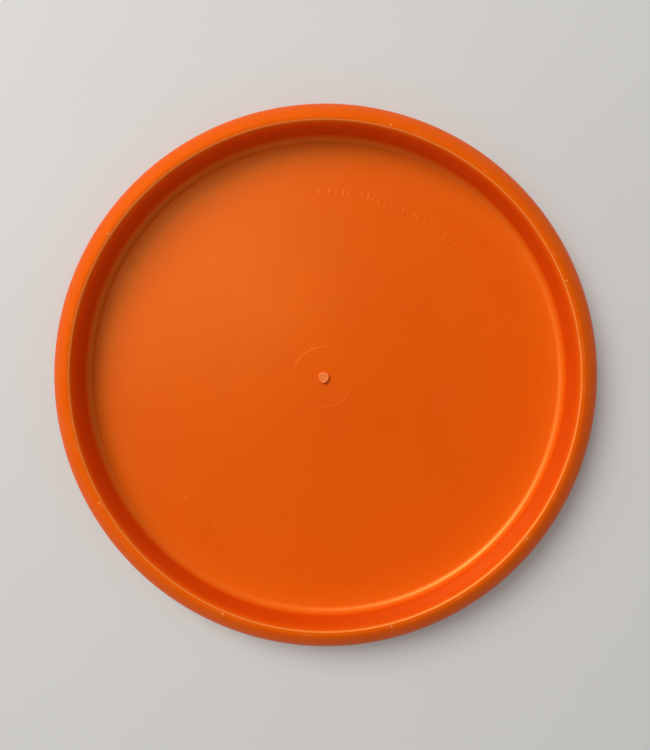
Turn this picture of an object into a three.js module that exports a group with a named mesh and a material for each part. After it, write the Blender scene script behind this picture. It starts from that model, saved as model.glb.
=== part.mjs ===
// A putt-and-approach flying disc, lying on its dome with the rim up.
//
// Millimetres. +Z runs along the spin axis, out of the hollow side, and the origin is the centre
// of the dome's flat middle. Every piece is a solid of revolution about +Z, so each is a closed
// outline in the half plane (distance from the axis, height), turned once round.
//
// The core is the flight plate with the inner wall of the rim. The outer rim is moulded round it
// and grips a tongue on the core. Both meet just inside the crest of the lip, where the seam shows
// from the hollow side, and again on the shoulder of the dome. The gate stub is what is left of the
// sprue, in the middle of the plate.

import * as THREE from "three";

// Overall size
const DISC_RADIUS = 106;
const DISC_HEIGHT = 20;
const TURN_STEPS = 80;

// Flight plate: a flat middle, then a shallow dome of even thickness out to the rim
const PLATE_THICKNESS = 2.4;
const FLAT_MIDDLE_RADIUS = 30;
const DOME_RADIUS = 94;
const DOME_RISE = 3.2;
const DOME_STEPS = 6;

// Inner wall of the rim, from the plate up to the lip
const RIM_DEPTH = 14.5;
const WALL_RADIUS = 96.5;
const WALL_FILLET_RADIUS = 2.8;
const FILLET_STEPS = 4;

// Lip: a narrow flat crest on the outer rim, a small rounding outside it and a long one inside,
// down to the inner wall. The seam comes out near the top of the inner rounding.
const CREST_INNER_RADIUS = 98.3;
const CREST_OUTER_RADIUS = 98.9;
const LIP_OUTER_RADIUS = 99.4;
const LIP_OUTER_DROP = 0.12;
const LIP_OUTER_STEPS = 2;
const LIP_INNER_DROP = 3.5;
const LIP_INNER_STEPS = 8;
const LIP_STEPS_ON_RIM = 1;

// Wing: the outside of the rim, from the dome's shoulder round the nose to the lip. The pulls are
// the lengths of the curves' handles.
const NOSE_HEIGHT = 13.6;
const SHOULDER_PULL = 7;
const NOSE_PULL = 6.5;
const NOSE_PULL_TO_LIP = 2;
const LIP_PULL = 2.1;
const FACE_SLOPE_AT_LIP = Math.PI / 9;
const WING_STEPS = 10;
const SHOULDER_STEPS_ON_CORE = 2;
const FACE_STEPS = 6;

// Tongue of the core that the outer rim grips
const TONGUE_RADIUS = 101.4;
const TONGUE_ROOT_TOP = 16.6;
const TONGUE_TOP = 14.2;
const TONGUE_BOTTOM = 10.2;
const TONGUE_ROOT_BOTTOM = 8;

// Raised witness ring that the mould's centre insert leaves round the gate
const RING_RADIUS = 12.3;
const RING_WIDTH = 0.6;
const RING_HEIGHT = 0.15;

// Gate stub
const GATE_RADIUS = 2.4;
const GATE_TOP_RADIUS = 2.1;
const GATE_HEIGHT = 1.5;
const GATE_EDGE = 0.3;
const GATE_STEPS = 32;

// Mould-orange plastic, and the paler plastic of the torn gate
const CORE_FINISH = { color: 0xe2550b, roughness: 0.42, metalness: 0 };
const RIM_FINISH = { color: 0xea5a12, roughness: 0.45, metalness: 0 };
const GATE_FINISH = { color: 0xd99a7a, roughness: 0.6, metalness: 0 };

const point = (radius, height) => new THREE.Vector2(radius, height);

// Points along a curve without its first one, so that outlines can be chained.
const along = (curve, steps) => curve.getPoints(steps).slice(1);

// The flat middle and the dome of one face of the plate, from the axis outwards. The dome is an
// arc that leaves the flat middle smoothly, so its slope at the end is the angle it sweeps.
function domeOutline(base, endRadius, rise) {
  const run = endRadius - FLAT_MIDDLE_RADIUS;
  const bend = (run * run + rise * rise) / (2 * rise);
  const slope = Math.asin(run / bend);
  const outline = [point(0, base), point(FLAT_MIDDLE_RADIUS, base)];
  for (let step = 1; step <= DOME_STEPS; step++) {
    const angle = (slope * step) / DOME_STEPS;
    const radius = FLAT_MIDDLE_RADIUS + bend * Math.sin(angle);
    outline.push(point(radius, base + bend * (1 - Math.cos(angle))));
  }
  return { outline, slope };
}

// The outside of the rim on the dome's side, from the end of the dome to the nose.
function wingOutline(start, slope) {
  const nose = point(DISC_RADIUS, NOSE_HEIGHT);
  const curve = new THREE.CubicBezierCurve(
    start,
    point(start.x + SHOULDER_PULL * Math.cos(slope), start.y + SHOULDER_PULL * Math.sin(slope)),
    point(nose.x, nose.y - NOSE_PULL),
    nose,
  );
  return curve.getPoints(WING_STEPS);
}

// The outside of the rim on the hollow side, from the nose up to the outer edge of the lip's crest:
// a face that rounds out of the nose and flattens towards the lip, then the lip's outer rounding.
function lowerWingOutline() {
  const nose = point(DISC_RADIUS, NOSE_HEIGHT);
  const lipEdge = point(LIP_OUTER_RADIUS, DISC_HEIGHT - LIP_OUTER_DROP);
  const crestEdge = point(CREST_OUTER_RADIUS, DISC_HEIGHT);
  const face = new THREE.CubicBezierCurve(
    nose,
    point(nose.x, nose.y + NOSE_PULL_TO_LIP),
    point(lipEdge.x + LIP_PULL, lipEdge.y - LIP_PULL * Math.tan(FACE_SLOPE_AT_LIP)),
    lipEdge,
  );
  const lip = new THREE.QuadraticBezierCurve(
    lipEdge,
    point((lipEdge.x + crestEdge.x) / 2, crestEdge.y),
    crestEdge,
  );
  return [...along(face, FACE_STEPS), ...along(lip, LIP_OUTER_STEPS)];
}

// The lip's inner rounding, from the inner edge of the crest down to the inner wall.
function innerLipOutline() {
  const curve = new THREE.QuadraticBezierCurve(
    point(CREST_INNER_RADIUS, DISC_HEIGHT),
    point(WALL_RADIUS, DISC_HEIGHT),
    point(WALL_RADIUS, DISC_HEIGHT - LIP_INNER_DROP),
  );
  return curve.getPoints(LIP_INNER_STEPS);
}

// The joint between core and outer rim, from the shoulder of the dome up to the lip.
function seamOutline(shoulder, lip) {
  return [
    point(shoulder.x, TONGUE_ROOT_BOTTOM),
    point(TONGUE_RADIUS, TONGUE_BOTTOM),
    point(TONGUE_RADIUS, TONGUE_TOP),
    point(lip.x, TONGUE_ROOT_TOP),
    lip,
  ];
}

// The fillet from the foot of the inner wall to the edge of the plate, where it takes up the
// plate's slope.
function filletOutline(plateEdge, plateSlope) {
  const run = WALL_RADIUS - plateEdge.x;
  const curve = new THREE.QuadraticBezierCurve(
    point(WALL_RADIUS, plateEdge.y + WALL_FILLET_RADIUS),
    point(WALL_RADIUS, plateEdge.y + run * Math.tan(plateSlope)),
    plateEdge,
  );
  return curve.getPoints(FILLET_STEPS);
}

// The raised ring round the gate, from its outer foot to its inner foot, with 45 degree flanks.
function witnessRingOutline(base) {
  const outer = RING_RADIUS + RING_WIDTH / 2;
  const inner = RING_RADIUS - RING_WIDTH / 2;
  return [
    point(outer, base),
    point(outer - RING_HEIGHT, base + RING_HEIGHT),
    point(inner + RING_HEIGHT, base + RING_HEIGHT),
    point(inner, base),
  ];
}

// A piece turned about the spin axis from a closed outline that runs anticlockwise.
function turned(name, outline, steps, finish) {
  const piece = new THREE.Mesh(
    new THREE.LatheGeometry(outline, steps),
    new THREE.MeshStandardMaterial(finish),
  );
  piece.name = name;
  piece.rotation.x = Math.PI / 2;
  return piece;
}

function flightPlateCore(dome, shoulder, seam, lip) {
  const hollow = domeOutline(
    PLATE_THICKNESS,
    WALL_RADIUS - WALL_FILLET_RADIUS,
    DISC_HEIGHT - RIM_DEPTH - PLATE_THICKNESS,
  );
  const [plateEdge, ...hollowInwards] = [...hollow.outline].reverse();
  const middle = hollowInwards.pop();
  const outline = [
    ...dome.outline,
    ...shoulder,
    ...seam,
    ...lip,
    ...filletOutline(plateEdge, hollow.slope),
    ...hollowInwards,
    ...witnessRingOutline(PLATE_THICKNESS),
    middle,
  ];
  return turned("flight_plate_core", outline, TURN_STEPS, CORE_FINISH);
}

function outerRim(wing, lip, seam) {
  const outline = [...wing, ...lowerWingOutline(), ...lip, ...[...seam].reverse(), wing[0]];
  return turned("outer_rim", outline, TURN_STEPS, RIM_FINISH);
}

function gateStub() {
  const outline = [
    point(0, 0),
    point(GATE_RADIUS, 0),
    point(GATE_TOP_RADIUS, GATE_HEIGHT - GATE_EDGE),
    point(GATE_TOP_RADIUS - GATE_EDGE, GATE_HEIGHT),
    point(0, GATE_HEIGHT),
  ];
  const stub = turned("gate_stub", outline, GATE_STEPS, GATE_FINISH);
  stub.position.z = PLATE_THICKNESS;
  return stub;
}

// The outside of the disc on the dome's side, shared out between core and outer rim.
const dome = domeOutline(0, DOME_RADIUS, DOME_RISE);
const domeToNose = wingOutline(dome.outline.at(-1), dome.slope);
const shoulder = domeToNose.slice(1, SHOULDER_STEPS_ON_CORE + 1);
const wing = domeToNose.slice(SHOULDER_STEPS_ON_CORE);

// The lip's inner rounding, shared out in the same way, and the joint between the two.
const lipInwards = innerLipOutline();
const lipOnRim = lipInwards.slice(0, LIP_STEPS_ON_RIM);
const lipOnCore = lipInwards.slice(LIP_STEPS_ON_RIM + 1);
const seam = seamOutline(wing[0], lipInwards[LIP_STEPS_ON_RIM]);

const flyingDisc = new THREE.Group();
flyingDisc.name = "flying_disc";
flyingDisc.add(
  flightPlateCore(dome, shoulder, seam, lipOnCore),
  outerRim(wing, lipOnRim, seam),
  gateStub(),
);

export default flyingDisc;
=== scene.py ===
"""Looks of a putt-and-approach flying disc that lies on its dome with the rim up.

The core and the outer rim are fine turned meshes that follow the CAD outline. They carry the small
marks that moulding leaves: a parting ridge on the lip and another on the nose, vent nibs, the
witness ring round the gate, an ejector mark and a plate that isn't quite flat. A band of plain
raised bars stands where the mould has its lettering. The gate stub is a torn, paler knob.
"""

import math

import bpy
import numpy as np
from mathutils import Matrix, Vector


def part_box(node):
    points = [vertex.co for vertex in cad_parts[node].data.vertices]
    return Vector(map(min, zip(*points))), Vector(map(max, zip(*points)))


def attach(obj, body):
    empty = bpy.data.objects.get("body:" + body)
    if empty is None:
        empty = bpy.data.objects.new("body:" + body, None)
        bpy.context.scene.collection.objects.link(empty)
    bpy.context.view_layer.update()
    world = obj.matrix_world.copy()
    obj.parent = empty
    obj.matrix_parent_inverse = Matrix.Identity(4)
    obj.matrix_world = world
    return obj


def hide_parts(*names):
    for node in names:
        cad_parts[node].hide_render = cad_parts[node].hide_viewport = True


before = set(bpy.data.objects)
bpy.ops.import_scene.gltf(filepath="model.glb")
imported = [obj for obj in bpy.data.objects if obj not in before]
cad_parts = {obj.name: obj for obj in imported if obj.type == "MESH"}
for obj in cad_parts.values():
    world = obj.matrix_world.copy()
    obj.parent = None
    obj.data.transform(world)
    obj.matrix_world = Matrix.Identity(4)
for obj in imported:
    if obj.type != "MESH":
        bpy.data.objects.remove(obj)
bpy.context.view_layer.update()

MM = 0.001

# Sizes that the frame gives
_, CORE_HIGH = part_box("flight_plate_core")
RIM_LOW, RIM_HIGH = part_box("outer_rim")
GATE_LOW, GATE_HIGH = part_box("gate_stub")
LIP_HEIGHT = RIM_HIGH.z
NOSE_RADIUS = RIM_HIGH.x
TONGUE_RADIUS = CORE_HIGH.x
SHOULDER_HEIGHT = RIM_LOW.z
PLATE_TOP = GATE_LOW.z
GATE_RADIUS = GATE_HIGH.x
GATE_TOP = GATE_HIGH.z

# Sizes of the CAD outline that its boxes don't give. The seam comes out SEAM_SHARE of the way along
# the lip's inner rounding.
FLAT_MIDDLE_RADIUS = 30 * MM
DOME_RADIUS = 94 * MM
DOME_RISE = 3.2 * MM
SHOULDER_RADIUS = 97.92 * MM
RIM_DEPTH = 14.5 * MM
WALL_RADIUS = 96.5 * MM
WALL_FILLET_RADIUS = 2.8 * MM
CREST_INNER_RADIUS = 98.3 * MM
CREST_OUTER_RADIUS = 98.9 * MM
LIP_OUTER_RADIUS = 99.4 * MM
LIP_OUTER_DROP = 0.12 * MM
LIP_INNER_DROP = 3.5 * MM
SEAM_SHARE = 1 / 8
SEAM_RADIUS = WALL_RADIUS + (CREST_INNER_RADIUS - WALL_RADIUS) * (1 - SEAM_SHARE) ** 2
NOSE_HEIGHT = 13.6 * MM
SHOULDER_PULL = 7 * MM
NOSE_PULL = 6.5 * MM
NOSE_PULL_TO_LIP = 2 * MM
LIP_PULL = 2.1 * MM
FACE_SLOPE_AT_LIP = math.radians(20)
TONGUE_ROOT_TOP = 16.6 * MM
TONGUE_TOP = 14.2 * MM
TONGUE_BOTTOM = 10.2 * MM
TONGUE_ROOT_BOTTOM = 8 * MM
RING_RADIUS = 12.3 * MM

# Moulding marks. The crest lies CREST_DROP under the box's top, which the vent nibs reach. The
# lip's parting ridge runs from the seam to LIP_RIDGE_SHARE of the way along the inner rounding.
# Lists of angles, and the pitch of the bars, are in degrees.
CREST_DROP = 0.08 * MM
NOSE_RIDGE_WIDTH = 0.3 * MM
NOSE_RIDGE_HEIGHT = 0.035 * MM
LIP_RIDGE_SHARE = 0.26
LIP_RIDGE_HEIGHT = 0.018 * MM
VENT_NIB_ANGLES = [22, 75, 146, 209, 247, 285.5, 322]
VENT_NIB_WIDTH = 0.45 * MM
WITNESS_WIDTH = 0.55 * MM
WITNESS_HEIGHT = 0.04 * MM
WITNESS_STRONG_ANGLE = math.radians(110)
BAR_INNER_RADIUS = 73.7 * MM
BAR_OUTER_RADIUS = 76.7 * MM
BAR_WIDTH = 0.42 * MM
BAR_HEIGHT = 0.035 * MM
BAR_PITCH = 1.9
BAR_ARCS = [(2, 94), (219, 242)]
BARS_IN_A_GROUP = 6
EJECTOR_FROM_AXIS = 70.5 * MM
EJECTOR_ANGLE = math.radians(141)
EJECTOR_RADIUS = 0.95 * MM
EJECTOR_WIDTH = 0.35 * MM
EJECTOR_DEPTH = 0.05 * MM
MARK_EDGE = 0.15 * MM
PLATE_WAVE_HEIGHT = 0.1 * MM
PLATE_WAVE_LENGTH = 55 * MM
CALM_START = 80 * MM
CALM_END = 92 * MM

# Gate stub. Its side leans in a little from a foot that is sunk into the plate, and its top is
# hollow and torn. GATE_TOP_START is where the innermost ring of the top lies.
GATE_HEADING = math.radians(268)
GATE_FOOT_RADIUS = 0.96 * GATE_RADIUS
GATE_SIDE_RADIUS = 0.88 * GATE_RADIUS
GATE_CORNER_RADIUS = 0.87 * GATE_RADIUS
GATE_SINK = 0.2 * MM
GATE_EDGE = 0.35 * MM
GATE_HOLLOW_DEPTH = 0.14 * MM
GATE_TEAR_DEPTH = 0.05 * MM
GATE_TEAR_LENGTH = 1.1 * MM
GATE_TOP_START = 0.05 * MM

# Steps round each piece. A mark gets FINE_TURN_STEPS angles across it, and the ejector mark five
# sets of them, each over twice EJECTOR_TURN_ARC.
TURN_STEPS = 360
GATE_TURN_STEPS = 96
FINE_TURN_STEPS = 7
EJECTOR_TURN_ARC = 0.003

# Steps along each stretch of the outlines. The plate has a ring at every GROUND_STEP, with closer
# ones over its marks.
MIDDLE_STEPS = 4
DOME_STEPS = 12
WING_STEPS = 40
NOSE_RIDGE_STEPS = 6
FACE_STEPS = 22
CREST_STEPS = 6
LIP_RIDGE_STEPS = 8
LIP_STEPS = 12
WALL_STEPS = 4
FILLET_STEPS = 12
GATE_SIDE_STEPS = 8
GATE_EDGE_STEPS = 6
GATE_TOP_STEPS = 12
GROUND_START = 2 * MM
GROUND_END = 93 * MM
GROUND_STEP = 2.4 * MM

# How near to the seam a point of the wing may be, and how far along a corner's sides the handles of
# a quarter arc reach
SEAM_CLEARANCE = 0.1 * MM
ARC_PULL = 0.552


# ---------------------------------------------------------------- outlines

def line(start, end, steps):
    """Points from start to end, without start."""
    share = np.arange(1, steps + 1)[:, None] / steps
    return (1 - share) * np.array(start) + share * np.array(end)


def bezier(handles, steps):
    """Points along a Bezier curve of any degree, without its first."""
    degree = len(handles) - 1
    share = np.arange(1, steps + 1)[:, None] / steps
    return sum(math.comb(degree, k) * share**k * (1 - share) ** (degree - k) * np.array(handle)
               for k, handle in enumerate(handles))


def hump(start, end, height, steps):
    """Points over a soft ridge that stands out of the line from start to end, without start."""
    start, end = np.array(start), np.array(end)
    run = (end - start) / np.linalg.norm(end - start)
    out = np.array((run[1], -run[0]))
    share = np.arange(1, steps + 1)[:, None] / steps
    return start + (end - start) * share + out * height * np.sin(math.pi * share) ** 2


def dome_bend(end_radius, rise):
    """The slope at a dome's edge, and the radius of its arc."""
    run = end_radius - FLAT_MIDDLE_RADIUS
    bend = (run * run + rise * rise) / (2 * rise)
    return math.asin(run / bend), bend


def dome(base, end_radius, rise, steps):
    """One face of the plate, from the edge of the flat middle out to end_radius."""
    slope, bend = dome_bend(end_radius, rise)
    angle = slope * np.arange(1, steps + 1) / steps
    return np.column_stack((FLAT_MIDDLE_RADIUS + bend * np.sin(angle), base + bend * (1 - np.cos(angle))))


def wing():
    """The outside of the rim from the dome's edge to the nose."""
    slope, _ = dome_bend(DOME_RADIUS, DOME_RISE)
    return bezier([
        (DOME_RADIUS, DOME_RISE),
        (DOME_RADIUS + SHOULDER_PULL * math.cos(slope), DOME_RISE + SHOULDER_PULL * math.sin(slope)),
        (NOSE_RADIUS, NOSE_HEIGHT - NOSE_PULL),
        (NOSE_RADIUS, NOSE_HEIGHT),
    ], WING_STEPS)


def nose_parting_line():
    """A soft ridge that runs over the nose and reaches NOSE_RADIUS."""
    foot = NOSE_RADIUS - NOSE_RIDGE_HEIGHT
    low, high = NOSE_HEIGHT - NOSE_RIDGE_WIDTH / 2, NOSE_HEIGHT + NOSE_RIDGE_WIDTH / 2
    return hump((foot, low), (foot, high), NOSE_RIDGE_HEIGHT, NOSE_RIDGE_STEPS)


def inner_lip(shares):
    """Points of the lip's inner rounding, which runs from the crest down to the inner wall."""
    crest = LIP_HEIGHT - CREST_DROP
    share = np.array(shares)[:, None]
    crest_edge = np.array((CREST_INNER_RADIUS, crest))
    corner = np.array((WALL_RADIUS, crest))
    wall_top = np.array((WALL_RADIUS, crest - LIP_INNER_DROP))
    return (1 - share) ** 2 * crest_edge + 2 * share * (1 - share) * corner + share * share * wall_top


def lower_wing():
    """The outside of the rim from the nose to the lip, its crest and the start of its inner rounding."""
    crest = LIP_HEIGHT - CREST_DROP
    nose = (NOSE_RADIUS - NOSE_RIDGE_HEIGHT, NOSE_HEIGHT + NOSE_RIDGE_WIDTH / 2)
    lip_edge = (LIP_OUTER_RADIUS, crest - LIP_OUTER_DROP)
    handle = (lip_edge[0] + LIP_PULL, lip_edge[1] - LIP_PULL * math.tan(FACE_SLOPE_AT_LIP))
    crest_edge = (CREST_OUTER_RADIUS, crest)
    face = bezier([nose, (nose[0], nose[1] + NOSE_PULL_TO_LIP), handle, lip_edge], FACE_STEPS)
    corner = ((lip_edge[0] + crest_edge[0]) / 2, crest)
    lip = bezier([lip_edge, corner, crest_edge], CREST_STEPS)
    return np.vstack((face, lip, inner_lip([0, 0.5 * SEAM_SHARE, SEAM_SHARE])))


def seam():
    """The joint inside the rim, from the dome's shoulder to just under the lip."""
    return np.array([
        (SHOULDER_RADIUS, TONGUE_ROOT_BOTTOM),
        (TONGUE_RADIUS, TONGUE_BOTTOM),
        (TONGUE_RADIUS, TONGUE_TOP),
        (SEAM_RADIUS, TONGUE_ROOT_TOP),
    ])


def inner_wall(plate_edge, plate_slope):
    """The core's part of the lip with the parting line's ridge, the inner wall and its fillet."""
    plate_edge = np.array(plate_edge)
    wall_foot = np.array((WALL_RADIUS, plate_edge[1] + WALL_FILLET_RADIUS))
    rise = (WALL_RADIUS - plate_edge[0]) * math.tan(plate_slope)
    corner = np.array((WALL_RADIUS, plate_edge[1] + rise))
    ridge_start, ridge_end = inner_lip([SEAM_SHARE, LIP_RIDGE_SHARE])
    ridge = hump(ridge_start, ridge_end, LIP_RIDGE_HEIGHT, LIP_RIDGE_STEPS)
    lip = np.vstack(([ridge_start], ridge, inner_lip(np.linspace(LIP_RIDGE_SHARE, 1, LIP_STEPS)[1:])))
    wall = line(lip[-1], wall_foot, WALL_STEPS)
    fillet = bezier([wall_foot, wall_foot + ARC_PULL * (corner - wall_foot),
                     plate_edge + ARC_PULL * (corner - plate_edge), plate_edge], FILLET_STEPS)
    return np.vstack((lip, wall, fillet))


def core_dome_side():
    """The core's outline from near the axis to the seam, over the dome and the shoulder."""
    shoulder = [p for p in wing() if p[0] < SHOULDER_RADIUS - SEAM_CLEARANCE]
    return np.vstack((
        line((0, 0), (FLAT_MIDDLE_RADIUS, 0), MIDDLE_STEPS),
        dome(0, DOME_RADIUS, DOME_RISE, DOME_STEPS),
        shoulder,
        [(SHOULDER_RADIUS, SHOULDER_HEIGHT)],
        seam(),
    ))


def core_hollow_side():
    """The core's outline from the seam over the lip, down the wall and inwards, almost to the axis."""
    end_radius = WALL_RADIUS - WALL_FILLET_RADIUS
    rise = LIP_HEIGHT - RIM_DEPTH - PLATE_TOP
    slope, bend = dome_bend(end_radius, rise)
    plate_edge = (end_radius, PLATE_TOP + rise)
    marks = [
        np.linspace(BAR_INNER_RADIUS - 0.2 * MM, BAR_OUTER_RADIUS + 0.2 * MM, 12),
        EJECTOR_FROM_AXIS + EJECTOR_RADIUS * np.linspace(-1.4, 1.4, 13),
        RING_RADIUS + WITNESS_WIDTH * np.linspace(-0.5, 0.5, 9),
    ]
    ground = [r for r in np.arange(GROUND_START, GROUND_END, GROUND_STEP)
              if not any(mark[0] < r < mark[-1] for mark in marks)]
    radius = np.unique(np.round(np.concatenate([*marks, ground]), 7))[::-1]
    out = np.maximum(radius - FLAT_MIDDLE_RADIUS, 0)
    height = PLATE_TOP + bend - np.sqrt(bend * bend - out * out)
    return np.vstack((inner_wall(plate_edge, slope), np.column_stack((radius, height))))


def rim_outline():
    """The outline of the outer rim, from the dome's shoulder over the nose and the lip to the seam."""
    radius, height = wing().T
    on_rim = (radius > SHOULDER_RADIUS + SEAM_CLEARANCE) & (height < NOSE_HEIGHT - NOSE_RIDGE_WIDTH)
    under_nose = np.column_stack((np.minimum(radius, NOSE_RADIUS - NOSE_RIDGE_HEIGHT), height))[on_rim]
    return np.vstack((
        [(SHOULDER_RADIUS, SHOULDER_HEIGHT)],
        under_nose,
        [(NOSE_RADIUS - NOSE_RIDGE_HEIGHT, NOSE_HEIGHT - NOSE_RIDGE_WIDTH / 2)],
        nose_parting_line(),
        lower_wing(),
        seam()[::-1],
    ))


# ---------------------------------------------------------------- relief

def step_up(low, high, value):
    """0 below low and 1 above high, with a smooth step between."""
    share = np.clip((value - low) / (high - low), 0, 1)
    return share * share * (3 - 2 * share)


def round_ridge(off_centre, width):
    """1 on the middle line of a ridge of that width, falling smoothly to 0 on each side."""
    return np.cos(math.pi * np.clip(off_centre / width, -0.5, 0.5)) ** 2


def off_angle(angle, centre):
    """How far angle is from centre, from -pi to pi."""
    return (angle - centre + math.pi) % (2 * math.pi) - math.pi


def waves(x, y, length, seed):
    """A smooth field between about -1 and 1, of sine waves in all directions."""
    random = np.random.default_rng(seed)
    total = 0
    for _ in range(7):
        heading, phase = random.uniform(0, 2 * math.pi, 2)
        turn = 2 * math.pi / (length * random.uniform(0.6, 1.5))
        total = total + np.sin(turn * (x * math.cos(heading) + y * math.sin(heading)) + phase)
    return total / 4


def plate_wave(x, y):
    """The long, low waves of a plate that isn't quite flat."""
    return PLATE_WAVE_HEIGHT * waves(x, y, PLATE_WAVE_LENGTH, seed=11)


def bars():
    """The raised bars, in groups with gaps: the centre's angle, the ends' radii and half the width."""
    random = np.random.default_rng(4)
    made = []
    for start, end in BAR_ARCS:
        for count in range(int((end - start) / BAR_PITCH) + 1):
            if count % (BARS_IN_A_GROUP + 1) != BARS_IN_A_GROUP:
                angle = math.radians(start + (count + random.uniform(-0.2, 0.2)) * BAR_PITCH)
                inner, outer = random.uniform(0, 0.4, 2) * (BAR_OUTER_RADIUS - BAR_INNER_RADIUS)
                half_width = BAR_WIDTH / 2 * random.uniform(0.8, 1.6)
                made.append((angle, BAR_INNER_RADIUS + inner, BAR_OUTER_RADIUS - outer, half_width))
    return made


def plate_relief(radius, angle):
    """How far the hollow face of the plate stands off its true outline."""
    x, y = radius * np.cos(angle), radius * np.sin(angle)
    relief = plate_wave(x, y) * (1 - step_up(CALM_START, CALM_END, radius))
    for centre, inner, outer, half_width in bars():
        across = np.abs(radius * off_angle(angle, centre))
        bar = step_up(inner - MARK_EDGE, inner + MARK_EDGE, radius)
        bar = bar * (1 - step_up(outer - MARK_EDGE, outer + MARK_EDGE, radius))
        bar = bar * (1 - step_up(half_width - MARK_EDGE / 2, half_width + MARK_EDGE, across))
        relief = relief + BAR_HEIGHT * bar
    strength = 0.75 + 0.25 * np.cos(2 * (angle - WITNESS_STRONG_ANGLE))
    relief = relief + WITNESS_HEIGHT * strength * round_ridge(radius - RING_RADIUS, WITNESS_WIDTH)
    ejector_x = EJECTOR_FROM_AXIS * math.cos(EJECTOR_ANGLE)
    ejector_y = EJECTOR_FROM_AXIS * math.sin(EJECTOR_ANGLE)
    away = np.hypot(x - ejector_x, y - ejector_y)
    return relief - EJECTOR_DEPTH * round_ridge(away - EJECTOR_RADIUS, EJECTOR_WIDTH)


def lip_relief(radius, height, angle):
    """The vent nibs, short ridges that run outwards over the lip from the parting line."""
    top = LIP_HEIGHT - CREST_DROP
    on_lip = step_up(SEAM_RADIUS, SEAM_RADIUS + 0.2 * MM, radius)
    on_lip = on_lip * step_up(top - 0.35 * MM, top - 0.1 * MM, height)
    relief = np.zeros_like(radius)
    for degrees in VENT_NIB_ANGLES:
        across = np.abs(radius * off_angle(angle, math.radians(degrees)))
        relief = relief + (1 - step_up(VENT_NIB_WIDTH * 0.2, VENT_NIB_WIDTH * 0.6, across))
    return np.minimum(CREST_DROP * on_lip * relief, LIP_HEIGHT - height)


# ---------------------------------------------------------------- meshes

def turn_angles(marks):
    """Even steps round the axis, with finer ones at marks, which are pairs of (angle, half width)."""
    even = np.arange(TURN_STEPS) * 2 * math.pi / TURN_STEPS
    fine = [angle + half_width * np.linspace(-1, 1, FINE_TURN_STEPS) for angle, half_width in marks]
    clear = [a for a in even
             if all(abs(off_angle(a, angle)) > half_width * 1.2 for angle, half_width in marks)]
    return np.unique(np.round(np.concatenate(fine + [clear]) % (2 * math.pi), 7))


def grid(outline, angles):
    """Radius, height and angle of each point of the outline at each angle, as tables."""
    radius, angle = np.meshgrid(outline[:, 0], angles, indexing="ij")
    return radius, np.repeat(outline[:, 1:], len(angles), axis=1), angle


def turned(name, radius, height, angle, middles=None):
    """A mesh of rings. It closes on itself, or with middles, the heights on the axis, at both ends."""
    rings, steps = radius.shape
    vertices = np.stack((radius * np.cos(angle), radius * np.sin(angle), height), -1).reshape(-1, 3)
    index = np.arange(rings * steps).reshape(rings, steps)
    after = np.roll(index, -1, axis=1)
    pairs = [(i, i + 1) for i in range(rings - 1)]
    if middles is None:
        pairs.append((rings - 1, 0))
    faces = []
    for low, high in pairs:
        faces += np.stack((index[low], after[low], after[high], index[high]), -1).tolist()
    if middles is not None:
        first, last = len(vertices), len(vertices) + 1
        vertices = np.vstack((vertices, [(0, 0, middles[0]), (0, 0, middles[1])]))
        faces += [[first, b, a] for a, b in zip(index[0].tolist(), after[0].tolist())]
        faces += [[last, a, b] for a, b in zip(index[-1].tolist(), after[-1].tolist())]
    mesh = bpy.data.meshes.new(name)
    mesh.from_pydata(vertices.tolist(), [], faces)
    mesh.shade_smooth()
    made = bpy.data.objects.new(name, mesh)
    bpy.context.scene.collection.objects.link(made)
    return made


def flight_plate_core():
    """The plate with the inner wall and its part of the lip, and the moulding marks on the plate."""
    dome_side, hollow_side = core_dome_side(), core_hollow_side()
    marks = [(angle, BAR_WIDTH / BAR_INNER_RADIUS) for angle, *_ in bars()]
    marks += [(EJECTOR_ANGLE + 2 * k * EJECTOR_TURN_ARC, EJECTOR_TURN_ARC) for k in range(-2, 3)]
    radius, height, angle = grid(np.vstack((dome_side, hollow_side)), turn_angles(marks))
    plate = slice(len(dome_side) + LIP_RIDGE_STEPS + LIP_STEPS, None)
    height[plate] += plate_relief(radius[plate], angle[plate])
    middles = (0, PLATE_TOP + plate_wave(0, 0))
    return turned("flight_plate_core_skin", radius, height, angle, middles)


def outer_rim():
    """The wing with the crest of the lip and its vent nibs."""
    half_width = VENT_NIB_WIDTH / SEAM_RADIUS
    marks = [(math.radians(degrees), half_width) for degrees in VENT_NIB_ANGLES]
    radius, height, angle = grid(rim_outline(), turn_angles(marks))
    height += lip_relief(radius, height, angle)
    return turned("outer_rim_skin", radius, height, angle)


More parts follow.
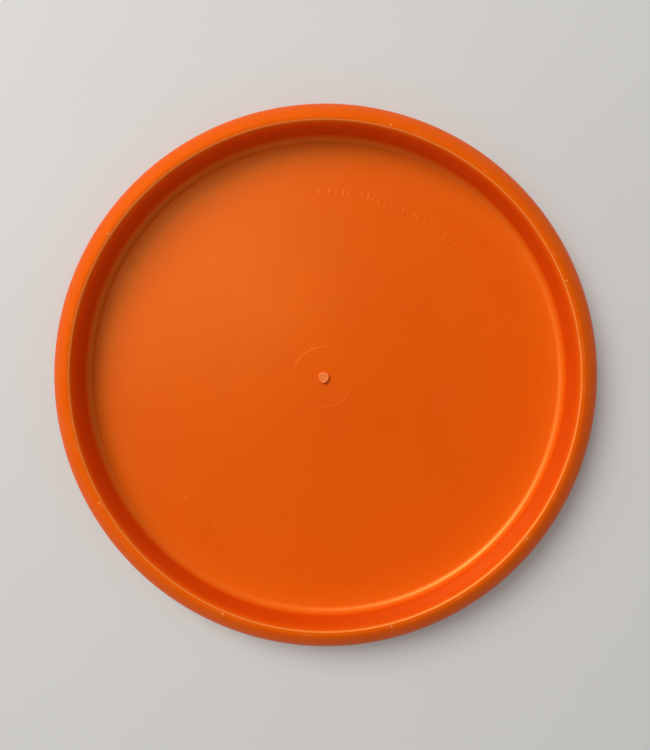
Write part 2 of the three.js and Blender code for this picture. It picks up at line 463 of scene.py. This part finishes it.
def gate_stub():
    """A knob with a slightly drawn-out side, a soft edge and a rough, sunken top."""
    rise = GATE_TOP - PLATE_TOP
    side = line((GATE_FOOT_RADIUS, -GATE_SINK), (GATE_SIDE_RADIUS, rise - GATE_EDGE), GATE_SIDE_STEPS)
    top_edge = (GATE_CORNER_RADIUS - GATE_EDGE, rise)
    corner = bezier([side[-1], (GATE_CORNER_RADIUS, rise), top_edge], GATE_EDGE_STEPS)
    top = line(top_edge, (GATE_TOP_START, rise), GATE_TOP_STEPS)
    angles = np.arange(GATE_TURN_STEPS) * 2 * math.pi / GATE_TURN_STEPS
    radius, height, angle = grid(np.vstack((side, corner, top)), angles)
    off = angle - GATE_HEADING
    drawn = 1 + 0.07 * np.cos(3 * off) + 0.03 * np.cos(2 * off)
    radius = radius * drawn * (1 + 0.012 * waves(np.cos(angle), np.sin(angle), 0.8, seed=3))
    x, y = radius * np.cos(angle), radius * np.sin(angle)
    on_top = step_up(0.8 * rise, rise, height)
    sunken = GATE_HOLLOW_DEPTH * (1 - step_up(0.35 * GATE_RADIUS, 0.8 * GATE_RADIUS, radius))
    torn = GATE_TEAR_DEPTH * (1 - waves(x, y, GATE_TEAR_LENGTH, seed=5))
    height = PLATE_TOP + height - on_top * (sunken + torn)
    middles = (PLATE_TOP - GATE_SINK, height[-1].mean())
    return turned("gate_stub_skin", radius, height, angle, middles)


# ---------------------------------------------------------------- materials

# Each piece's plastic: the plain colour, the mottling's, the rubbed or flowing one, and a deeper one
# that is painted shade on the walls and rim.
# A wear radius that is OFF_THE_DISC leaves only the top of the lip rubbed.
CORE_COLOURS = ((0.94, 0.120, 0.0006), (0.90, 0.109, 0.0005), (0.96, 0.135, 0.002), (0.74, 0.084, 0.0003))
RIM_COLOURS = ((0.88, 0.122, 0.0015), (0.86, 0.116, 0.0012), (0.92, 0.155, 0.020), (0.82, 0.103, 0.0006))
OFF_THE_DISC = 1.0

# The plate gets paler from one radius to the other: painted bounce light from the lit wall. The
# walls and rim get a deeper colour, painted shade, from the first height to the second, and less of it
# again from LIP_FOOT to the top of the lip: a painted glow of light through the thin lip.
PLATE_EDGE_BOUNCE_COLOUR = (0.94, 0.148, 0.003)
PLATE_EDGE_START = 82 * MM
PLATE_EDGE_END = 95 * MM
WALL_SHADE_START = LIP_HEIGHT - RIM_DEPTH + 1 * MM
WALL_SHADE_END = LIP_HEIGHT - RIM_DEPTH + 4 * MM
LIP_FOOT = LIP_HEIGHT - 5 * MM

# The whitened nib tips, the painted highlight along the lip's parting ridge, the tint of the sheen,
# the gate's middle, edge, fibres and foot, the foot darker as painted shade, and the floor
NIB_COLOUR = (0.98, 0.40, 0.15)
LIP_RIDGE_HIGHLIGHT_COLOUR = (0.99, 0.235, 0.04)
LIP_RIDGE_FOOT = LIP_HEIGHT - 0.42 * MM
SHEEN_COLOUR = (1.0, 0.42, 0.11)
GATE_COLOURS = ((0.94, 0.215, 0.040), (0.97, 0.240, 0.050), (0.98, 0.34, 0.11), (0.72, 0.105, 0.006))
FLOOR_COLOURS = ((0.70, 0.70, 0.695), (0.74, 0.737, 0.73))

# How fine each texture is, in specks to the metre. FLOW_SCALE counts the specks in one radian or so
# round the gate, and FLOW_CHANGE is how many radians' worth of change a metre outwards brings.
MOTTLING_SCALE = 28.0
FLOW_SCALE = 14.0
FLOW_CHANGE = 9.0
TURNING_SCALE = 1400.0
GRAIN_SCALE = 2600.0
PATCH_SCALE = 160.0
FIBRE_SCALE = 2200.0
CLOUD_SCALE = 1.5
TOOTH_SCALE = 900.0

# How many times longer than wide a scratch is
SCRATCH_STRETCH = 20

# Depths of the reliefs that are too fine for the meshes
TURNING_DEPTH = 0.006 * MM
GRAIN_DEPTH = 0.012 * MM
SCRATCH_DEPTH = 0.004 * MM
FIBRE_DEPTH = 0.05 * MM
TOOTH_DEPTH = 0.02 * MM

# How much rubbing, scratches and the duller lip add to the roughness, and how far a rubbed patch
# goes towards the pale colour
WORN_ROUGHNESS = 0.15
SCRATCH_ROUGHNESS = 0.08
LIP_ROUGHNESS = 0.12
WORN_PALENESS = 0.45


def add_node(tree, kind, inputs=(), **settings):
    """A shader node. inputs pairs a socket's name or number with a value or another node's output."""
    made = tree.nodes.new(kind)
    for setting, value in settings.items():
        setattr(made, setting, value)
    for socket, value in dict(inputs).items():
        if isinstance(value, bpy.types.NodeSocket):
            tree.links.new(value, made.inputs[socket])
        else:
            made.inputs[socket].default_value = value
    return made


def calculate(tree, operation, *values):
    """One step of arithmetic on values, each a number or an output."""
    return add_node(tree, "ShaderNodeMath", enumerate(values), operation=operation).outputs[0]


def ramp(tree, value, low, high, start=0.0, end=1.0):
    """Start where value is low and end where it is high, with a smooth step between."""
    inputs = {"Value": value, "From Min": low, "From Max": high, "To Min": start, "To Max": end}
    return add_node(tree, "ShaderNodeMapRange", inputs, interpolation_type="SMOOTHSTEP").outputs[0]


def speckle(tree, vector, scale, detail=2.0):
    """Smooth noise between 0 and 1, with about scale specks to the metre."""
    inputs = {"Vector": vector, "Scale": scale, "Detail": detail}
    return add_node(tree, "ShaderNodeTexNoise", inputs).outputs[0]


def blend(tree, share, first, second):
    """The colour first where share is 0 and second where it is 1."""
    first = first if isinstance(first, bpy.types.NodeSocket) else (*first, 1)
    second = second if isinstance(second, bpy.types.NodeSocket) else (*second, 1)
    return add_node(tree, "ShaderNodeMix", {0: share, 6: first, 7: second}, data_type="RGBA").outputs[2]


def bump(tree, height, depth, normal=None):
    """A normal that leans as if height, from 0 to 1, stood up to depth, over an earlier normal."""
    inputs = {"Height": height, "Distance": depth, "Strength": 1.0}
    if normal is not None:
        inputs["Normal"] = normal
    return add_node(tree, "ShaderNodeBump", inputs).outputs[0]


def new_material(name):
    """A new material, its node tree and its shader."""
    material = bpy.data.materials.new(name)
    material.use_nodes = True
    return material, material.node_tree, material.node_tree.nodes["Principled BSDF"]


def surface_place(tree):
    """Outputs for a point of the surface: its place, its place with no height, its radius and height."""
    place = add_node(tree, "ShaderNodeTexCoord").outputs["Object"]
    parts = add_node(tree, "ShaderNodeSeparateXYZ", {0: place}).outputs
    flat = add_node(tree, "ShaderNodeCombineXYZ", {0: parts[0], 1: parts[1]}).outputs[0]
    radius = add_node(tree, "ShaderNodeVectorMath", {0: flat}, operation="LENGTH").outputs["Value"]
    return place, flat, radius, parts[2]


def connect(tree, shader, colour, roughness, normal):
    """Feeds the shader its colour, roughness and normal."""
    tree.links.new(colour, shader.inputs["Base Color"])
    tree.links.new(roughness, shader.inputs["Roughness"])
    tree.links.new(normal, shader.inputs["Normal"])


def scratches(tree, place, turn, scale, rarity):
    """Sparse hairlines that lie along one direction, 1 on a line and 0 off it."""
    inputs = {"Vector": place, "Rotation": (0, 0, turn), "Scale": (SCRATCH_STRETCH, 1, 1)}
    along = add_node(tree, "ShaderNodeMapping", inputs, vector_type="TEXTURE").outputs[0]
    lines = speckle(tree, along, scale, detail=1.0)
    return ramp(tree, lines, rarity, rarity + 0.03)


def hairlines(tree, place):
    """Two sets of scratches that cross."""
    return calculate(tree, "MAXIMUM",
                     scratches(tree, place, turn=0.6, scale=900.0, rarity=0.74),
                     scratches(tree, place, turn=2.3, scale=700.0, rarity=0.76))


def flow_lines(tree, flat, radius):
    """Streaks that run out from the gate, as the plastic flowed."""
    heading = add_node(tree, "ShaderNodeVectorMath", {0: flat}, operation="NORMALIZE").outputs[0]
    away = calculate(tree, "MULTIPLY", radius, FLOW_CHANGE)
    outwards = add_node(tree, "ShaderNodeCombineXYZ", {2: away}).outputs[0]
    fan = add_node(tree, "ShaderNodeVectorMath", {0: heading, 1: outwards}, operation="ADD").outputs[0]
    return ramp(tree, speckle(tree, fan, FLOW_SCALE, detail=3.0), 0.45, 0.8, 0, 0.15)


def turning_marks(tree, radius, height):
    """Fine rings round the axis, which the turned mould leaves."""
    groove = calculate(tree, "MULTIPLY", radius, TURNING_SCALE)
    around = add_node(tree, "ShaderNodeCombineXYZ", {0: groove, 1: height}).outputs[0]
    return speckle(tree, around, 1.0)


def worn_patches(tree, place, radius, height, wear_radius):
    """1 in rubbed patches beyond wear_radius and on the lip's top, and 0 elsewhere."""
    rubbed = calculate(tree, "MAXIMUM",
                       ramp(tree, radius, wear_radius, wear_radius + 0.6 * MM),
                       ramp(tree, height, LIP_HEIGHT - 0.3 * MM, LIP_HEIGHT - 0.05 * MM))
    patches = ramp(tree, speckle(tree, place, PATCH_SCALE, detail=6.0), 0.5, 0.68)
    return calculate(tree, "MULTIPLY", rubbed, patches)


def painted_bounce_shade_and_glow(tree, colour, wall_shade_colour, radius, height, lip):
    """The colour with painted light: paler at the plate's edge as painted bounce light, deeper up the
    walls and rim as painted shade, and less so on the lip as a painted glow.
    """
    # Painted bounce light: the plate gets paler towards the wall, but not up the wall
    plate_edge = calculate(tree, "MULTIPLY",
                           ramp(tree, radius, PLATE_EDGE_START, PLATE_EDGE_END, 0, 0.9),
                           ramp(tree, height, WALL_SHADE_START, WALL_SHADE_END, 1, 0))
    colour = blend(tree, plate_edge, colour, PLATE_EDGE_BOUNCE_COLOUR)
    # Painted shade: a deeper colour up the walls and rim
    wall_shade = ramp(tree, height, WALL_SHADE_START, WALL_SHADE_END, 0, 0.9)
    # Less of that shade on the lip, a painted glow of light through the thin lip
    shade_kept_under_lip_glow = calculate(tree, "MULTIPLY_ADD", lip, -0.75, 1.0)
    return blend(tree, calculate(tree, "MULTIPLY", wall_shade, shade_kept_under_lip_glow), colour, wall_shade_colour)


def ridge_highlight_and_whitened_nibs(tree, colour, radius, height):
    """The colour, with a painted highlight on the lip's parting ridge and whitened tips on the vent nibs.
    """
    # Painted highlight: a pale strip along the lip's parting ridge, on the core's side of the seam
    ridge = calculate(tree, "MULTIPLY",
                      ramp(tree, height, LIP_RIDGE_FOOT, LIP_RIDGE_FOOT + 0.12 * MM),
                      ramp(tree, radius, SEAM_RADIUS, SEAM_RADIUS + 0.05 * MM, 0.85, 0))
    colour = blend(tree, ridge, colour, LIP_RIDGE_HIGHLIGHT_COLOUR)
    nib_tips = ramp(tree, height, LIP_HEIGHT - 0.05 * MM, LIP_HEIGHT - 0.01 * MM)
    return blend(tree, nib_tips, colour, NIB_COLOUR)


def moulded_plastic(name, colours, roughness, index, gloss, wear_radius):
    """Satin moulded plastic: mottled, marked by the mould, scratched and a little worn.
    colours are the plain one, the mottling's, the rubbed or flowing one and the deeper one that is
    painted shade on the walls and rim."""
    material, tree, shader = new_material(name)
    place, flat, radius, height = surface_place(tree)
    plain_colour, deep_colour, pale_colour, wall_shade_colour = colours
    mottling = speckle(tree, place, MOTTLING_SCALE, detail=3.0)
    # This ramp drives both the painted glow on the lip and its real dullness
    lip = ramp(tree, height, LIP_FOOT, LIP_HEIGHT)
    scratched = hairlines(tree, place)
    worn = worn_patches(tree, place, radius, height, wear_radius)

    colour = blend(tree, ramp(tree, mottling, 0.3, 0.7), plain_colour, deep_colour)
    colour = blend(tree, flow_lines(tree, flat, radius), colour, pale_colour)
    # Painted light: bounce light at the plate's edge, shade on the walls and rim, a glow on the lip
    colour = painted_bounce_shade_and_glow(tree, colour, wall_shade_colour, radius, height, lip)
    colour = blend(tree, calculate(tree, "MULTIPLY", worn, WORN_PALENESS), colour, pale_colour)
    # A painted highlight along the lip's parting ridge, and whitened nib tips
    colour = ridge_highlight_and_whitened_nibs(tree, colour, radius, height)

    rough = ramp(tree, mottling, 0.25, 0.75, roughness - 0.015, roughness + 0.03)
    for cause, added in ((worn, WORN_ROUGHNESS), (scratched, SCRATCH_ROUGHNESS), (lip, LIP_ROUGHNESS)):
        rough = calculate(tree, "ADD", rough, calculate(tree, "MULTIPLY", cause, added))
    normal = bump(tree, turning_marks(tree, radius, height), TURNING_DEPTH)
    normal = bump(tree, speckle(tree, place, GRAIN_SCALE), GRAIN_DEPTH, normal)
    normal = bump(tree, calculate(tree, "MULTIPLY", scratched, -1.0), SCRATCH_DEPTH, normal)
    connect(tree, shader, colour, rough, normal)
    shader.inputs["IOR"].default_value = index
    shader.inputs["Specular IOR Level"].default_value = gloss
    shader.inputs["Specular Tint"].default_value = (*SHEEN_COLOUR, 1)
    return material


def torn_plastic():
    """The gate: whitened where it was torn, most of all on its edge, and darker at its foot, which is
    painted shade where it meets the plate.
    """
    material, tree, shader = new_material("gate_plastic")
    place, _, radius, height = surface_place(tree)
    fibres = speckle(tree, place, FIBRE_SCALE, detail=5.0)
    edge = ramp(tree, radius, 0.45 * GATE_RADIUS, 0.8 * GATE_RADIUS)
    middle_colour, edge_colour, fibre_colour, foot_shade_colour = GATE_COLOURS
    colour = blend(tree, edge, middle_colour, edge_colour)
    colour = blend(tree, ramp(tree, fibres, 0.5, 0.8, 0, 0.4), colour, fibre_colour)
    # Painted shade: darker at the foot where the stub meets the plate
    foot = ramp(tree, height, PLATE_TOP, PLATE_TOP + 0.5 * MM, 1.0, 0.0)
    colour = blend(tree, foot, colour, foot_shade_colour)
    rough = ramp(tree, fibres, 0.3, 0.7, 0.5, 0.75)
    connect(tree, shader, colour, rough, bump(tree, fibres, FIBRE_DEPTH))
    shader.inputs["Specular IOR Level"].default_value = 0.3
    return material


def floor_material():
    """A pale matt floor with a faint cloudiness and fine tooth."""
    material, tree, shader = new_material("floor")
    place = add_node(tree, "ShaderNodeTexCoord").outputs["Object"]
    clouds = speckle(tree, place, CLOUD_SCALE, detail=4.0)
    tooth = speckle(tree, place, TOOTH_SCALE)
    colour = blend(tree, ramp(tree, clouds, 0.3, 0.7), *FLOOR_COLOURS)
    rough = ramp(tree, tooth, 0.3, 0.7, 0.75, 0.85)
    connect(tree, shader, colour, rough, bump(tree, tooth, TOOTH_DEPTH))
    return material


# ---------------------------------------------------------------- the disc

core_plastic = moulded_plastic("core_plastic", CORE_COLOURS, roughness=0.3, index=1.72, gloss=1.0,
                               wear_radius=OFF_THE_DISC)
rim_plastic = moulded_plastic("rim_plastic", RIM_COLOURS, roughness=0.34, index=1.45, gloss=0.1,
                              wear_radius=NOSE_RADIUS - 0.9 * MM)
pieces = (
    (flight_plate_core(), "flight_plate_core", "core_plastic", core_plastic),
    (outer_rim(), "outer_rim", "rim_plastic", rim_plastic),
    (gate_stub(), "gate_stub", "gate_plastic", torn_plastic()),
)
for piece, cad_node, slot, material in pieces:
    piece.data.materials.append(material)
    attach(piece, "root")
    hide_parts(cad_node)


# ---------------------------------------------------------------- studio

FLOOR_HALF_WIDTH = 3.0
FLOOR_GAP = 0.1 * MM
LAMP_COLOUR = (1.0, 0.97, 0.92)
HORIZON_LIGHT = 0.2
WALL_LIGHT = 0.34
CEILING_SHARE = 0.12
CAMERA_PLACE = Vector((4.6, 7.34, 233.8)) * MM
CAMERA_TILT = (math.radians(-1.57), math.radians(1.03), 0)
CAMERA_LENS = 27.03

scene = bpy.context.scene
scene.view_settings.view_transform = "Standard"


def floor():
    """A wide level floor, just under the disc."""
    mesh = bpy.data.meshes.new("floor")
    corners = [(x, y, 0) for x, y in ((-1, -1), (1, -1), (1, 1), (-1, 1))]
    mesh.from_pydata([Vector(corner) * FLOOR_HALF_WIDTH for corner in corners], [], [(0, 1, 2, 3)])
    mesh.materials.append(floor_material())
    made = bpy.data.objects.new("floor", mesh)
    made.location.z = -FLOOR_GAP
    scene.collection.objects.link(made)


def round_lamp(name, azimuth, zenith, distance, size, radiance):
    """A round area lamp that faces the disc from that direction."""
    data = bpy.data.lights.new(name, "AREA")
    data.shape = "DISK"
    data.size = size
    data.energy = radiance * math.pi * math.pi * size * size / 4
    data.color = LAMP_COLOUR
    lamp = bpy.data.objects.new(name, data)
    azimuth, zenith = math.radians(azimuth), math.radians(zenith)
    across = math.sin(zenith)
    towards = Vector((across * math.cos(azimuth), across * math.sin(azimuth), math.cos(zenith)))
    lamp.location = towards * distance
    lamp.rotation_euler = towards.to_track_quat("Z", "Y").to_euler()
    lamp.visible_camera = False
    scene.collection.objects.link(lamp)


def room_light():
    """Soft light from all round, with pale walls and a dim ceiling right overhead."""
    world = bpy.data.worlds.new("studio")
    world.use_nodes = True
    tree = world.node_tree
    direction = add_node(tree, "ShaderNodeTexCoord").outputs["Generated"]
    up = add_node(tree, "ShaderNodeSeparateXYZ", {0: direction}).outputs[2]
    walls = ramp(tree, up, 0.0, 0.5, HORIZON_LIGHT, WALL_LIGHT)
    overhead = ramp(tree, up, 0.82, 0.96, 1.0, CEILING_SHARE)
    strength = calculate(tree, "MULTIPLY", walls, overhead)
    background = tree.nodes["Background"]
    background.inputs["Color"].default_value = (1, 1, 1, 1)
    tree.links.new(strength, background.inputs["Strength"])
    scene.world = world


def camera():
    """A camera almost straight above the disc, about as far off as the phone was."""
    data = bpy.data.cameras.new("camera")
    data.sensor_fit = "AUTO"
    data.sensor_width = 36
    data.lens = CAMERA_LENS
    data.clip_start = 0.01
    made = bpy.data.objects.new("camera", data)
    made.location = CAMERA_PLACE
    made.rotation_euler = CAMERA_TILT
    scene.collection.objects.link(made)
    scene.camera = made


floor()
round_lamp("key", azimuth=132, zenith=43.5, distance=1.5, size=0.82, radiance=6.8)
round_lamp("softbox", azimuth=142, zenith=37, distance=1.6, size=1.66, radiance=1.4)
room_light()
camera()
